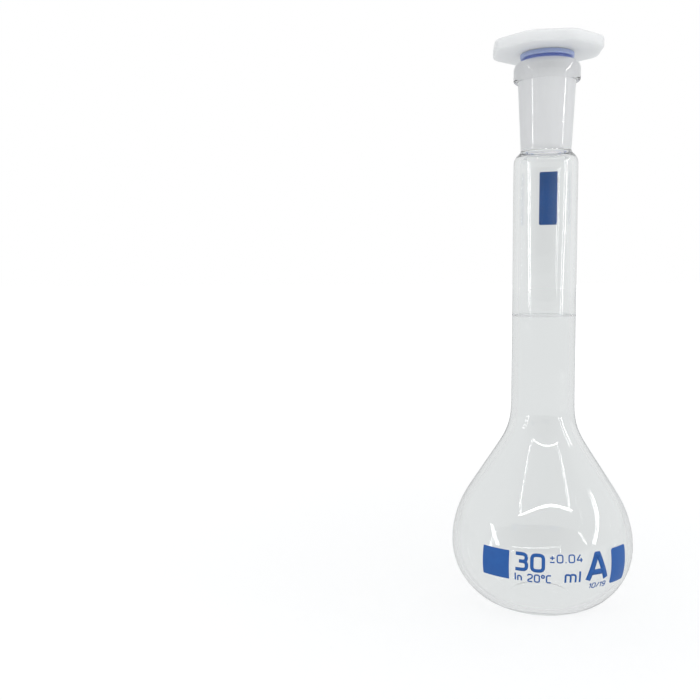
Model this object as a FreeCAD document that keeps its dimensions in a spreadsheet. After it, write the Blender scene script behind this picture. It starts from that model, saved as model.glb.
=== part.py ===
import FreeCAD, Part
import math
import os

import Sketcher
from FreeCAD import Vector

# Volumetric flask with a 10/19 ground socket and a stopper.
# Millimetres, +Z up, origin at the centre of the foot on the bench, print facing -Y.

doc = FreeCAD.newDocument("volumetric_flask")

# Driving sizes

SIZES = {
    # blown glass
    "bulb_diameter": 40.0,
    "equator_height": 13.3,
    "belly_radius": 14.2,
    "crown_radius": 21.8,
    "cone_angle": 32.75,
    "neck_blend_radius": 13.0,
    "neck_diameter": 13.9,
    "glass_wall": 1.2,
    "punt_diameter": 14.0,
    "punt_depth": 0.8,
    "neck_shoulder_height": 2.6,
    "throat_land": 0.8,
    # ground socket
    "flask_height": 119.8,
    "joint_diameter": 10.0,
    "joint_taper": 0.1,
    "joint_length": 19.0,
    "seam_land": 0.4,
    "socket_wall": 1.4,
    "bead_diameter": 14.3,
    "bead_height": 4.4,
    "bead_top_round": 1.8,
    "bead_under_round": 0.9,
    # stopper
    "head_across_flats": 23.0,
    "head_thickness": 2.4,
    "head_corner_round": 4.4,
    "head_edge_round": 0.5,
    "head_turn": -6.6,
    "head_gap": 1.7,
    "shank_clearance": 0.05,
    "shank_rise": 0.6,
    "shank_tip_chamfer": 0.4,
    "shank_bore_diameter": 5.4,
    "shank_bore_depth": 15.0,
    "journal_diameter": 8.0,
    # collar under the head
    "ring_diameter": 11.5,
    "ring_flange_height": 0.95,
    "ring_lip_depth": 0.9,
    "ring_lip_clearance": 0.06,
    "ring_bore_clearance": 0.05,
    "ring_end_play": 0.05,
    # fired enamel
    "enamel_thickness": 0.06,
    "graduation_height": 64.8,
    "graduation_width": 0.4,
    "square_azimuth": -40.3,
    "square_width": 6.3,
    "square_bottom": 10.5,
    "square_height": 6.1,
    "bulb_panel_azimuth": 41.1,
    "bulb_panel_width": 5.1,
    "bulb_panel_bottom": 9.1,
    "bulb_panel_height": 7.6,
    "neck_panel_azimuth": 160.6,
    "neck_panel_width": 4.7,
    "neck_panel_height": 11.95,
    "neck_panel_drop": 0.8,
}

sheet = doc.addObject("Spreadsheet::Sheet", "Sizes")
for row, (alias, number) in enumerate(SIZES.items(), start=1):
    sheet.set(f"A{row}", alias)
    sheet.set(f"B{row}", str(number))
    sheet.setAlias(f"B{row}", alias)
doc.recompute()


def cell(alias):
    """The expression that reads one driving size."""
    return f"Sizes.{alias}"


def number_of(expression):
    """The present value of an expression, as a plain number."""
    result = sheet.evalExpression(expression)
    return float(getattr(result, "Value", result))


# Places that several pieces share, as expressions on the driving sizes

WALL = cell("glass_wall")
BULB_RADIUS = f"({cell('bulb_diameter')} / 2)"
EQUATOR = cell("equator_height")
BELLY = cell("belly_radius")
CROWN = cell("crown_radius")
BLEND = cell("neck_blend_radius")
CONE_SIN = f"sin({cell('cone_angle')})"
CONE_COS = f"cos({cell('cone_angle')})"
NECK_RADIUS = f"({cell('neck_diameter')} / 2)"
NECK_BORE = f"({NECK_RADIUS} - {WALL})"
CONE_LENGTH = f"(({BULB_RADIUS} - {NECK_RADIUS} - ({CROWN} + {BLEND}) * (1 - {CONE_COS})) / {CONE_SIN})"
NECK_START = f"({EQUATOR} + ({CROWN} + {BLEND}) * {CONE_SIN} + {CONE_LENGTH} * {CONE_COS})"

RIM = cell("flask_height")
JOINT_FOOT = f"({RIM} - {cell('joint_length')})"
SEAM = f"({JOINT_FOOT} - {cell('seam_land')})"
THROAT_RADIUS = f"(({cell('joint_diameter')} - {cell('joint_taper')} * {cell('joint_length')}) / 2)"
WAIST_RADIUS = f"({THROAT_RADIUS} + {cell('socket_wall')})"
SHOULDER_START = f"({SEAM} - {cell('neck_shoulder_height')})"
THROAT_START = f"({SEAM} - {cell('throat_land')})"

HEAD_UNDERSIDE = f"({RIM} + {cell('head_gap')})"
RING_TOP = f"({HEAD_UNDERSIDE} - {cell('ring_end_play')})"
FLANGE_UNDERSIDE = f"({RING_TOP} - {cell('ring_flange_height')})"
RING_FOOT = f"({RIM} - {cell('ring_lip_depth')})"
SHANK_TOP = f"({RING_FOOT} - {cell('ring_end_play')})"
SHANK_TIP = f"({JOINT_FOOT} + {cell('shank_rise')})"
JOURNAL_RADIUS = f"({cell('journal_diameter')} / 2)"


def joint_radius(height):
    """Radius of the ground cone at a height."""
    return f"(({cell('joint_diameter')} - {cell('joint_taper')} * ({RIM} - {height})) / 2)"


def tangent_arc_radius(reach, rise):
    """Radius of the arc that leaves a cylinder smoothly and moves in by reach over rise."""
    return f"(({reach}^2 + {rise}^2) / (2 * {reach}))"


# Profiles in the half plane of radius and height, turned about the Z axis

LEFT = 1
RIGHT = -1


def new_body(label):
    body = doc.addObject("PartDesign::Body", label)
    body.Label = label
    return body


def origin_plane(body, role):
    return next(plane for plane in body.Origin.OriginFeatures if plane.Role == role)


def new_sketch(body, name, role):
    sketch = body.newObject("Sketcher::SketchObject", name)
    sketch.AttachmentSupport = [(origin_plane(body, role), "")]
    sketch.MapMode = "FlatFace"
    return sketch


def arc_between(start, end, radius, side):
    """The arc under half a turn from start to end, with its centre to the left or right of the way."""
    chord = end - start
    square = Vector(-chord.y, chord.x, 0).normalize()
    rise = math.sqrt(max(radius**2 - (chord.Length / 2) ** 2, 0))
    centre = (start + end) * 0.5 + square * (side * rise)
    first, last = (start, end) if side == LEFT else (end, start)
    angles = [math.atan2(point.y - centre.y, point.x - centre.x) for point in (first, last)]
    return Part.ArcOfCircle(Part.Circle(centre, Vector(0, 0, 1), radius), *angles)


def bind(sketch, kind, references, expression):
    """A dimension of the sketch that follows an expression."""
    index = sketch.addConstraint(Sketcher.Constraint(kind, *references, number_of(expression)))
    sketch.setExpression(f"Constraints[{index}]", expression)


def pin_coordinate(sketch, kind, axis, edge, end, expression):
    """Holds one coordinate of a corner: on the axis where it is 0, else at its distance."""
    if expression == "0":
        sketch.addConstraint(Sketcher.Constraint("PointOnObject", edge, end, axis))
    else:
        bind(sketch, kind, (-1, 1, edge, end), expression)


def draw_profile(sketch, outline):
    """A closed outline: each corner is (radius, height) and, where the way on is an arc, (radius, side)."""
    corners = [Vector(number_of(step[0]), number_of(step[1]), 0) for step in outline]
    ends = []
    for index, step in enumerate(outline):
        start = corners[index]
        end = corners[(index + 1) % len(corners)]
        if len(step) == 2:
            sketch.addGeometry(Part.LineSegment(start, end))
            ends.append((1, 2))
        else:
            arc_radius, side = step[2]
            sketch.addGeometry(arc_between(start, end, number_of(arc_radius), side))
            ends.append((1, 2) if side == LEFT else (2, 1))
    for index in range(len(outline)):
        following = (index + 1) % len(outline)
        joined = (index, ends[index][1], following, ends[following][0])
        sketch.addConstraint(Sketcher.Constraint("Coincident", *joined))
    for index, step in enumerate(outline):
        pin_coordinate(sketch, "DistanceX", -2, index, ends[index][0], step[0])
        pin_coordinate(sketch, "DistanceY", -1, index, ends[index][0], step[1])
        if len(step) == 3:
            bind(sketch, "Radius", (index,), step[2][0])


def turn(body, name, outline, angle=None):
    """Turns an outline about Z, all round or over an angle centred on the sketch plane."""
    sketch = new_sketch(body, f"{name}_outline", "XZ_Plane")
    draw_profile(sketch, outline)
    solid = body.newObject("PartDesign::Revolution", name)
    solid.Profile = sketch
    solid.ReferenceAxis = (sketch, ["V_Axis"])
    solid.Angle = 360
    if angle:
        solid.Midplane = True
        solid.setExpression("Angle", angle)
    sketch.Visibility = False
    return solid


def face_azimuth(body, azimuth):
    """Turns a body about Z, from the front at -Y towards +X."""
    body.Placement = FreeCAD.Placement(Vector(), FreeCAD.Rotation(Vector(0, 0, 1), 1))
    body.setExpression("Placement.Rotation.Angle", azimuth)


# Bulb and neck: pushed-up foot, belly, crown, straight cone, neck and shoulder, at one wall thickness

PUNT_RADIUS = f"({cell('punt_diameter')} / 2)"
PUNT = cell("punt_depth")
PUNT_ARC = f"(({PUNT_RADIUS}^2 + {PUNT}^2) / (2 * {PUNT}))"
NECK_STEP = f"({NECK_RADIUS} - {WAIST_RADIUS})"
BORE_STEP = f"({NECK_BORE} - {THROAT_RADIUS})"
BORE_RISE = f"({THROAT_START} - {SHOULDER_START})"


def foot_radius(inset):
    """Where the belly arc, moved in by inset, meets the foot plane raised by inset."""
    return f"({BULB_RADIUS} - {BELLY} + sqrt(({BELLY} - {inset})^2 - ({EQUATOR} - {inset})^2))"


def crown_end(inset):
    """Radius and height where the crown arc, moved in by inset, runs into the cone."""
    arc = f"({CROWN} - {inset})"
    return f"({BULB_RADIUS} - {CROWN} + {arc} * {CONE_COS})", f"({EQUATOR} + {arc} * {CONE_SIN})"


def blend_start(inset):
    """Radius and height where the cone, moved in by inset, runs into the neck blend."""
    arc = f"({BLEND} + {inset})"
    return f"({NECK_RADIUS} + {BLEND} - {arc} * {CONE_COS})", f"({NECK_START} - {arc} * {CONE_SIN})"


bulb_and_neck = new_body("bulb_and_neck")
turn(
    bulb_and_neck,
    "blown_glass",
    [
        ("0", PUNT, (PUNT_ARC, RIGHT)),
        (PUNT_RADIUS, "0"),
        (foot_radius("0"), "0", (BELLY, LEFT)),
        (BULB_RADIUS, EQUATOR, (CROWN, LEFT)),
        crown_end("0"),
        (*blend_start("0"), (BLEND, RIGHT)),
        (NECK_RADIUS, NECK_START),
        (NECK_RADIUS, SHOULDER_START, (tangent_arc_radius(NECK_STEP, cell("neck_shoulder_height")), LEFT)),
        (WAIST_RADIUS, SEAM),
        (THROAT_RADIUS, SEAM),
        (THROAT_RADIUS, THROAT_START, (tangent_arc_radius(BORE_STEP, BORE_RISE), RIGHT)),
        (NECK_BORE, SHOULDER_START),
        (NECK_BORE, NECK_START, (f"({BLEND} + {WALL})", LEFT)),
        blend_start(WALL),
        (*crown_end(WALL), (f"({CROWN} - {WALL})", RIGHT)),
        (f"({BULB_RADIUS} - {WALL})", EQUATOR, (f"({BELLY} - {WALL})", RIGHT)),
        (foot_radius(WALL), WALL),
        (PUNT_RADIUS, WALL, (PUNT_ARC, LEFT)),
        ("0", f"({WALL} + {PUNT})"),
    ],
)

# Ground socket: 1:10 cone inside, parallel wall outside, rolled bead at the mouth

BEAD_RADIUS = f"({cell('bead_diameter')} / 2)"
BEAD_FOOT = f"({RIM} - {cell('bead_height')})"
BEAD_FOOT_RADIUS = f"({joint_radius(BEAD_FOOT)} + {cell('socket_wall')})"
BEAD_TOP_ROUND = cell("bead_top_round")
BEAD_UNDER_ROUND = f"min({cell('bead_under_round')}; {BEAD_RADIUS} - {BEAD_FOOT_RADIUS})"

ground_socket = new_body("ground_socket")
turn(
    ground_socket,
    "ground_glass",
    [
        (THROAT_RADIUS, SEAM),
        (WAIST_RADIUS, SEAM),
        (BEAD_FOOT_RADIUS, BEAD_FOOT),
        (f"({BEAD_RADIUS} - {BEAD_UNDER_ROUND})", BEAD_FOOT, (BEAD_UNDER_ROUND, LEFT)),
        (BEAD_RADIUS, f"({BEAD_FOOT} + {BEAD_UNDER_ROUND})"),
        (BEAD_RADIUS, f"({RIM} - {BEAD_TOP_ROUND})", (BEAD_TOP_ROUND, LEFT)),
        (f"({BEAD_RADIUS} - {BEAD_TOP_ROUND})", RIM),
        (joint_radius(RIM), RIM),
        (THROAT_RADIUS, JOINT_FOOT),
    ],
)

# Stopper: octagonal head, journal for the collar, hollow tapered shank

HEAD_SIDES = 8


def draw_octagon(sketch):
    """A regular octagon about the origin, one flat square to the front."""
    corner_circle = number_of(cell("head_across_flats")) / 2 / math.cos(math.pi / HEAD_SIDES)
    angles = [(index - 0.5) * 2 * math.pi / HEAD_SIDES - math.pi / 2 for index in range(HEAD_SIDES)]
    corners = [Vector(math.cos(angle), math.sin(angle), 0) * corner_circle for angle in angles]
    for index in range(HEAD_SIDES):
        sketch.addGeometry(Part.LineSegment(corners[index], corners[(index + 1) % HEAD_SIDES]))
    circle = sketch.addGeometry(Part.Circle(Vector(), Vector(0, 0, 1), corner_circle), True)
    for index in range(HEAD_SIDES):
        following = (index + 1) % HEAD_SIDES
        sketch.addConstraint(Sketcher.Constraint("Coincident", index, 2, following, 1))
        sketch.addConstraint(Sketcher.Constraint("PointOnObject", index, 2, circle))
        if index:
            sketch.addConstraint(Sketcher.Constraint("Equal", 0, index))
    sketch.addConstraint(Sketcher.Constraint("Coincident", circle, 3, -1, 1))
    sketch.addConstraint(Sketcher.Constraint("Horizontal", 0))
    bind(sketch, "Distance", (-1, 1, 0), f"({cell('head_across_flats')} / 2)")


def round_edges(body, name, radius, wanted):
    """Rounds the edges of the body's present shape that a test picks out."""
    doc.recompute()
    base = body.Tip
    edges = [f"Edge{index}" for index, edge in enumerate(base.Shape.Edges, start=1) if wanted(edge)]
    rounded = body.newObject("PartDesign::Fillet", name)
    rounded.Base = (base, edges)
    rounded.setExpression("Radius", radius)


def is_upright(edge):
    ends = edge.Vertexes
    return len(ends) == 2 and abs(ends[0].Z - ends[1].Z) > edge.Length / 2


stopper = new_body("stopper")
head_outline = new_sketch(stopper, "head_outline", "XY_Plane")
head_outline.setExpression("AttachmentOffset.Base.z", HEAD_UNDERSIDE)
draw_octagon(head_outline)
head = stopper.newObject("PartDesign::Pad", "head")
head.Profile = head_outline
head.setExpression("Length", cell("head_thickness"))
round_edges(stopper, "head_corners", cell("head_corner_round"), is_upright)
round_edges(stopper, "head_edges", cell("head_edge_round"), lambda edge: not is_upright(edge))


def shank_radius(height):
    return f"({joint_radius(height)} - {cell('shank_clearance')})"


TIP_CHAMFER = cell("shank_tip_chamfer")
BORE_RADIUS = f"({cell('shank_bore_diameter')} / 2)"
BORE_TOP = f"({SHANK_TIP} + {cell('shank_bore_depth')})"
TIP_RISE = f"({SHANK_TIP} + {TIP_CHAMFER})"
turn(
    stopper,
    "shank",
    [
        ("0", HEAD_UNDERSIDE),
        ("0", BORE_TOP),
        (BORE_RADIUS, BORE_TOP),
        (BORE_RADIUS, SHANK_TIP),
        (f"({shank_radius(TIP_RISE)} - {TIP_CHAMFER})", SHANK_TIP),
        (shank_radius(TIP_RISE), TIP_RISE),
        (shank_radius(SHANK_TOP), SHANK_TOP),
        (JOURNAL_RADIUS, SHANK_TOP),
        (JOURNAL_RADIUS, HEAD_UNDERSIDE),
    ],
)
face_azimuth(stopper, cell("head_turn"))

# Blue collar: flange under the head, lip that reaches into the mouth, running on the journal

RING_BORE = f"({JOURNAL_RADIUS} + {cell('ring_bore_clearance')})"
RING_RADIUS = f"({cell('ring_diameter')} / 2)"
LIP_RADIUS = f"({joint_radius(RING_FOOT)} - {cell('ring_lip_clearance')})"

colour_ring = new_body("colour_ring")
turn(
    colour_ring,
    "collar",
    [
        (RING_BORE, RING_FOOT),
        (LIP_RADIUS, RING_FOOT),
        (LIP_RADIUS, FLANGE_UNDERSIDE),
        (RING_RADIUS, FLANGE_UNDERSIDE),
        (RING_RADIUS, RING_TOP),
        (RING_BORE, RING_TOP),
    ],
)

# Fired enamel: a line round the neck, two patches on the bulb and one on the back of the neck

ENAMEL = cell("enamel_thickness")


def neck_band(bottom, top):
    """Outline of a thin layer on the cylinder of the neck."""
    outer = f"({NECK_RADIUS} + {ENAMEL})"
    return [(NECK_RADIUS, bottom), (outer, bottom), (outer, top), (NECK_RADIUS, top)]


def bulb_radius_at(height, arc, inset):
    """Radius of the bulb at a height on the belly or crown arc, moved in by inset."""
    reach = f"sqrt(({arc} - {inset})^2 - ({EQUATOR} - {height})^2)"
    return f"({BULB_RADIUS} - {arc} + {reach})"


def bulb_band(bottom, top):
    """Outline of a thin layer on the bulb, across its equator."""
    proud = f"(0 - {ENAMEL})"
    return [
        (bulb_radius_at(bottom, BELLY, proud), bottom, (f"({BELLY} + {ENAMEL})", LEFT)),
        (f"({BULB_RADIUS} + {ENAMEL})", EQUATOR, (f"({CROWN} + {ENAMEL})", LEFT)),
        (bulb_radius_at(top, CROWN, proud), top),
        (bulb_radius_at(top, CROWN, "0"), top, (CROWN, RIGHT)),
        (BULB_RADIUS, EQUATOR, (BELLY, RIGHT)),
        (bulb_radius_at(bottom, BELLY, "0"), bottom),
    ]


def arc_angle(width, radius):
    """The angle that a width takes up round a radius, in degrees."""
    return f"({width} / {radius} * 180 / pi)"


def enamel_patch(label, outline, radius):
    """A patch whose width and azimuth are the sizes named after it."""
    patch = new_body(label)
    turn(patch, f"{label}_layer", outline, arc_angle(cell(f"{SIZE_NAMES[label]}_width"), radius))
    face_azimuth(patch, f"{cell(f'{SIZE_NAMES[label]}_azimuth')} - 90")
    return patch


SIZE_NAMES = {"marking_square": "square", "bulb_panel": "bulb_panel", "neck_panel": "neck_panel"}

graduation_ring = new_body("graduation_ring")
HALF_LINE = f"({cell('graduation_width')} / 2)"
GRADUATION = cell("graduation_height")
turn(graduation_ring, "line", neck_band(f"({GRADUATION} - {HALF_LINE})", f"({GRADUATION} + {HALF_LINE})"))

SQUARE_TOP = f"({cell('square_bottom')} + {cell('square_height')})"
BULB_PANEL_TOP = f"({cell('bulb_panel_bottom')} + {cell('bulb_panel_height')})"
NECK_PANEL_TOP = f"({SHOULDER_START} - {cell('neck_panel_drop')})"
NECK_PANEL_BOTTOM = f"({NECK_PANEL_TOP} - {cell('neck_panel_height')})"
marking_square = enamel_patch("marking_square", bulb_band(cell("square_bottom"), SQUARE_TOP), BULB_RADIUS)
bulb_panel = enamel_patch("bulb_panel", bulb_band(cell("bulb_panel_bottom"), BULB_PANEL_TOP), BULB_RADIUS)
neck_panel = enamel_patch("neck_panel", neck_band(NECK_PANEL_BOTTOM, NECK_PANEL_TOP), NECK_RADIUS)

# Checks, then one STEP file for each piece

doc.recompute()
failed = [item.Name for item in doc.Objects if {"Invalid", "Error"} & set(item.State)]
if failed:
    raise RuntimeError(f"objects failed to rebuild: {failed}")

pieces = [
    bulb_and_neck,
    ground_socket,
    stopper,
    colour_ring,
    graduation_ring,
    marking_square,
    bulb_panel,
    neck_panel,
]
for piece in pieces:
    if piece.Shape.isNull() or not piece.Shape.isValid() or len(piece.Shape.Solids) != 1:
        raise RuntimeError(f"{piece.Label} is not one valid solid")

os.makedirs("parts", exist_ok=True)
for piece in pieces:
    piece.Shape.exportStep(f"parts/{piece.Label}.step")
    print(f"{piece.Label}: {piece.Shape.Volume:.2f} mm3")
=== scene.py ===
# %% [markdown]
# A small volumetric flask: a blown bulb with a long neck, a ground socket fused on top, a milky
# stopper with a blue collar, and blue enamel fired onto the glass. The construction is loaded as
# a fixed frame, and each step below dresses one piece of it.

# %% load the frame
import math

import bmesh
import bpy
from mathutils import Matrix, Vector


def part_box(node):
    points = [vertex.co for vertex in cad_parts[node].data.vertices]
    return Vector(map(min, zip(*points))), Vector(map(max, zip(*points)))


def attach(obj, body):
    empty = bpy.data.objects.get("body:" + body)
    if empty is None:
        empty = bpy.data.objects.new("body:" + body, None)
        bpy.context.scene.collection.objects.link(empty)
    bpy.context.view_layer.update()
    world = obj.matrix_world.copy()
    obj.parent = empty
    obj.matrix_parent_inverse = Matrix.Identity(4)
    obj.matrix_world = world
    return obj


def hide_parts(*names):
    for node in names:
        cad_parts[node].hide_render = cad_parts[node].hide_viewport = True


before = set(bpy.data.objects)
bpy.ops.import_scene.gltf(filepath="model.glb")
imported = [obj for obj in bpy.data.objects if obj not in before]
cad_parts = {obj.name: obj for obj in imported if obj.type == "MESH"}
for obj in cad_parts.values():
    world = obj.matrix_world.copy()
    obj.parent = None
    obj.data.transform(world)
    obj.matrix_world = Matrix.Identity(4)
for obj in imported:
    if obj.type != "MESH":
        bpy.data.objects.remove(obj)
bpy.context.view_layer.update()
MM = 0.001
print("nodes:", sorted(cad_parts))

# %% [markdown]
# Sizes are read from the frame where a node shows them: the bulb's width, the rim's height, the
# head's place. The radii of the blown shape do not show in a box, so they are written here, in
# millimetres, as the glassblower's template would give them.

# %% sizes
bulb_low, bulb_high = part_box("bulb_and_neck")
socket_low, socket_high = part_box("ground_socket")
stopper_low, stopper_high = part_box("stopper")
collar_low, collar_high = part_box("colour_ring")
line_low, line_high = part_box("graduation_ring")

BULB_RADIUS = (bulb_high[0] - bulb_low[0]) / 2 / MM
SEAM = bulb_high[2] / MM
RIM = socket_high[2] / MM
BEAD_RADIUS = (socket_high[0] - socket_low[0]) / 2 / MM
HEAD_TOP = stopper_high[2] / MM
SHANK_TIP = stopper_low[2] / MM
COLLAR_TOP = collar_high[2] / MM
COLLAR_FOOT = collar_low[2] / MM
COLLAR_RADIUS = (collar_high[0] - collar_low[0]) / 2 / MM
LINE_TOP = line_high[2] / MM
LINE_FOOT = line_low[2] / MM

EQUATOR = 13.3
BELLY = 14.2
CROWN = 21.8
CONE_ANGLE = math.radians(32.75)
BLEND = 13.0
NECK_RADIUS = 6.95
WALL = 1.2
PUNT_RADIUS = 7.0
PUNT_DEPTH = 0.8
SHOULDER_RISE = 2.6
THROAT_LAND = 0.8
JOINT_RADIUS = 5.0
JOINT_SLOPE = 0.05
JOINT_LENGTH = 19.0
SOCKET_WALL = 1.4
BEAD_HEIGHT = 4.4
print(f"bulb {2 * BULB_RADIUS:.1f} mm, rim at {RIM:.1f} mm, stopper top at {HEAD_TOP:.1f} mm")

# %% [markdown]
# Node trees are easier to read as sums than as boxes and wires. This small class stands for one
# output socket. Adding, multiplying or comparing two of them adds the Math node that does it, and
# its one method for everything else makes any node from its type, its settings and its inputs.


# %% sockets as numbers
class Wire:
    def __init__(self, socket):
        self.socket = socket
        self.tree = socket.id_data

    @staticmethod
    def fill(made, inputs):
        for name, value in inputs.items():
            if isinstance(value, Wire):
                value.tree.links.new(value.socket, made.inputs[name])
            else:
                made.inputs[name].default_value = value

    @staticmethod
    def node(tree, kind, settings=None, inputs=None, output=0):
        made = tree.nodes.new(kind)
        for name, value in (settings or {}).items():
            setattr(made, name, value)
        Wire.fill(made, inputs or {})
        return made if output is None else Wire(made.outputs[output])

    def then(self, operation, *others, swap=False):
        terms = [self, *others]
        if swap:
            terms.reverse()
        inputs = dict(enumerate(terms))
        return Wire.node(self.tree, "ShaderNodeMath", {"operation": operation}, inputs)

    def __add__(self, other):
        return self.then("ADD", other)

    __radd__ = __add__

    def __mul__(self, other):
        return self.then("MULTIPLY", other)

    __rmul__ = __mul__

    def __sub__(self, other):
        return self.then("SUBTRACT", other)

    def __rsub__(self, other):
        return self.then("SUBTRACT", other, swap=True)

    def __truediv__(self, other):
        return self.then("DIVIDE", other)

    def __rtruediv__(self, other):
        return self.then("DIVIDE", other, swap=True)

    def __lt__(self, other):
        return self.then("LESS_THAN", other)

    def __gt__(self, other):
        return self.then("GREATER_THAN", other)

    def __pow__(self, other):
        return self.then("POWER", other)

    def at_least(self, low):
        return self.then("MAXIMUM", low)

    def at_most(self, high):
        return self.then("MINIMUM", high)

    def sin(self):
        return self.then("SINE")

    def cos(self):
        return self.then("COSINE")

    def tan(self):
        return self.then("TANGENT")

    def root(self):
        return self.then("SQRT")

    def floor(self):
        return self.then("FLOOR")

    def part(self, axis):
        return Wire.node(self.tree, "ShaderNodeSeparateXYZ", None, {"Vector": self}, axis)


# %% [markdown]
# Glass is a clear shell, so its look is all refraction and reflection. Blown glass is never quite
# even: a very faint wave in the surface keeps the reflections alive, and a trace of handling makes
# the gloss vary a little. Light on its way to what stands inside passes the glass almost straight,
# because a renderer would otherwise lose most of it. The inside of the socket is ground: it is a
# milky surface that scatters light and is lit through from behind.


# %% material helpers
def new_material(name):
    material = bpy.data.materials.new(name)
    material.use_nodes = True
    tree = material.node_tree
    shader = next(node for node in tree.nodes if node.type == "BSDF_PRINCIPLED")
    place = Wire.node(tree, "ShaderNodeTexCoord", None, None, "Object")
    return material, tree, shader, place


def feed(shader, **values):
    """Sets or links a shader's inputs, named with an underscore for each space."""
    Wire.fill(shader, {name.replace("_", " "): value for name, value in values.items()})


def noise(place, scale, detail):
    inputs = {"Vector": place, "Scale": scale, "Detail": detail}
    return Wire.node(place.tree, "ShaderNodeTexNoise", None, inputs)


def bump(height, strength, distance):
    inputs = {"Height": height, "Strength": strength, "Distance": distance}
    return Wire.node(height.tree, "ShaderNodeBump", None, inputs)


def spread(pattern, low, reach):
    """A value that rises from low by up to a reach, as a pattern does."""
    return low + pattern * reach


def colour_between(factor, low, high):
    inputs = {"Factor": factor, "A": (*low, 1.0), "B": (*high, 1.0)}
    return Wire.node(factor.tree, "ShaderNodeMix", {"data_type": "RGBA"}, inputs, "Result")


def mixed_looks(tree, factor, first, second):
    return Wire.node(tree, "ShaderNodeMixShader", None, {0: factor, 1: first, 2: second})


def show(look):
    """Makes a look the one that its material shows."""
    output = next(node for node in look.tree.nodes if node.type == "OUTPUT_MATERIAL")
    Wire.fill(output, {"Surface": look})


# %% light through the glass
GLASS_SHADOW_PASSES = 0.92
GLASS_BOUNCE_PASSES = 0.96


def let_light_in(tree, look):
    """Lets light pass the glass straight on its way to what stands inside or behind it."""
    rays = Wire.node(tree, "ShaderNodeLightPath", None, None, None)
    direct = Wire(rays.outputs["Is Shadow Ray"]) * GLASS_SHADOW_PASSES
    bounced = Wire(rays.outputs["Is Diffuse Ray"]) * GLASS_BOUNCE_PASSES
    clear = Wire.node(tree, "ShaderNodeBsdfTransparent")
    show(mixed_looks(tree, direct.at_least(bounced), look, clear))


# %% clear and ground glass
# A noise is given by its scale and detail, a bump by its strength and distance.
GLASS_TINT = (0.985, 0.992, 0.99)
GLASS_IOR = 1.473
GLASS_WAVE = (55.0, 1.0)
GLASS_WAVE_BUMP = (0.02, 0.001)
GLASS_SMEAR = (240.0, 4.0)
GLASS_SMEAR_ROUGHNESS = 0.02
GROUND_TINT = (0.88, 0.88, 0.885)
GROUND_GLOW = 0.45
GROUND_GRIT = (9000.0, 2.0)
GROUND_ROUGHNESS = (0.5, 0.2)
GROUND_BUMP = (0.25, 0.00005)


def make_clear_glass():
    material, tree, shader, place = new_material("clear_glass")
    feed(shader, Base_Color=(*GLASS_TINT, 1.0), Transmission_Weight=1.0, IOR=GLASS_IOR)
    wave = noise(place, *GLASS_WAVE)
    smear = noise(place, *GLASS_SMEAR)
    feed(shader, Roughness=smear * GLASS_SMEAR_ROUGHNESS, Normal=bump(wave, *GLASS_WAVE_BUMP))
    let_light_in(tree, Wire(shader.outputs[0]))
    return material


def make_ground_glass():
    material, tree, shader, place = new_material("ground_glass")
    feed(shader, Base_Color=(*GROUND_TINT, 1.0), Specular_IOR_Level=0.0)
    grit = noise(place, *GROUND_GRIT)
    feed(shader, Roughness=spread(grit, *GROUND_ROUGHNESS), Normal=bump(grit, *GROUND_BUMP))
    glow = Wire.node(tree, "ShaderNodeBsdfTranslucent", None, {"Color": (*GROUND_TINT, 1.0)})
    let_light_in(tree, mixed_looks(tree, GROUND_GLOW, Wire(shader.outputs[0]), glow))
    return material


clear_glass = make_clear_glass()
ground_glass = make_ground_glass()
print("glass finishes:", clear_glass.name, ground_glass.name)

# %% [markdown]
# Everything here except the print is turned: a profile swept round one axis. A Geometry Nodes tree
# does the sweep. It lays out a grid with one row for each profile point and one column for each
# step round the axis, and moves every grid point to its radius, angle and height. A profile point
# may also carry an amount of flats, which turns the circle into an octagon with rounded corners.


# %% ends of a tree
def tree_inputs(tree, inputs):
    """Declares a tree's named inputs and gives back the group input node."""
    tree.interface.new_socket("Geometry", in_out="INPUT", socket_type="NodeSocketGeometry")
    for name, kind in inputs.items():
        tree.interface.new_socket(name, in_out="INPUT", socket_type=f"NodeSocket{kind}")
    tree.interface.new_socket("Geometry", in_out="OUTPUT", socket_type="NodeSocketGeometry")
    return tree.nodes.new("NodeGroupInput")


def shaped(tree, kind, **inputs):
    """A geometry node without settings, its inputs named with an underscore for each space."""
    named = {name.replace("_", " "): value for name, value in inputs.items()}
    return Wire.node(tree, f"GeometryNode{kind}", None, named)


def tree_output(tree, geometry, material):
    """Realizes, sets the material and ends the tree."""
    real = shaped(tree, "RealizeInstances", Geometry=geometry)
    coated = shaped(tree, "SetMaterial", Geometry=real, Material=material)
    Wire.node(tree, "NodeGroupOutput", None, {"Geometry": coated}, None)


def round_the_axis(radius, angle, height):
    """A place at an angle from the front, towards the right, as a vector."""
    parts = {"X": radius * angle.sin(), "Y": radius * angle.cos() * -1.0, "Z": height}
    return Wire.node(radius.tree, "ShaderNodeCombineXYZ", None, parts)


# %% the turning tree
HEAD_FLATS = 8
ROUNDING_GUARD = 0.5
MERGE_DISTANCE = 1e-6


def sample_profile(profile, value, row, kind):
    settings = {"data_type": kind, "domain": "POINT"}
    inputs = {"Geometry": profile, "Index": row, "Value": value}
    return Wire.node(profile.tree, "GeometryNodeSampleIndex", settings, inputs)


def octagon_factor(angle, corner):
    """How far out a rounded octagon of apothem 1 is, at an angle from the middle of a flat."""
    half = math.pi / HEAD_FLATS
    off_flat = (angle + half).then("FLOORED_MODULO", 2 * half) - half
    off_flat = off_flat.then("ABSOLUTE")
    on_flat = off_flat.tan() < (1 - corner) * math.tan(half)
    centre = (1 - corner) / math.cos(half)
    off_corner = half - off_flat
    reach = corner * corner - (centre * off_corner.sin()) ** 2
    on_corner = centre * off_corner.cos() + reach.at_least(0.0).root()
    return on_flat * (1 / off_flat.cos()) + (1 - on_flat) * on_corner


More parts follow.
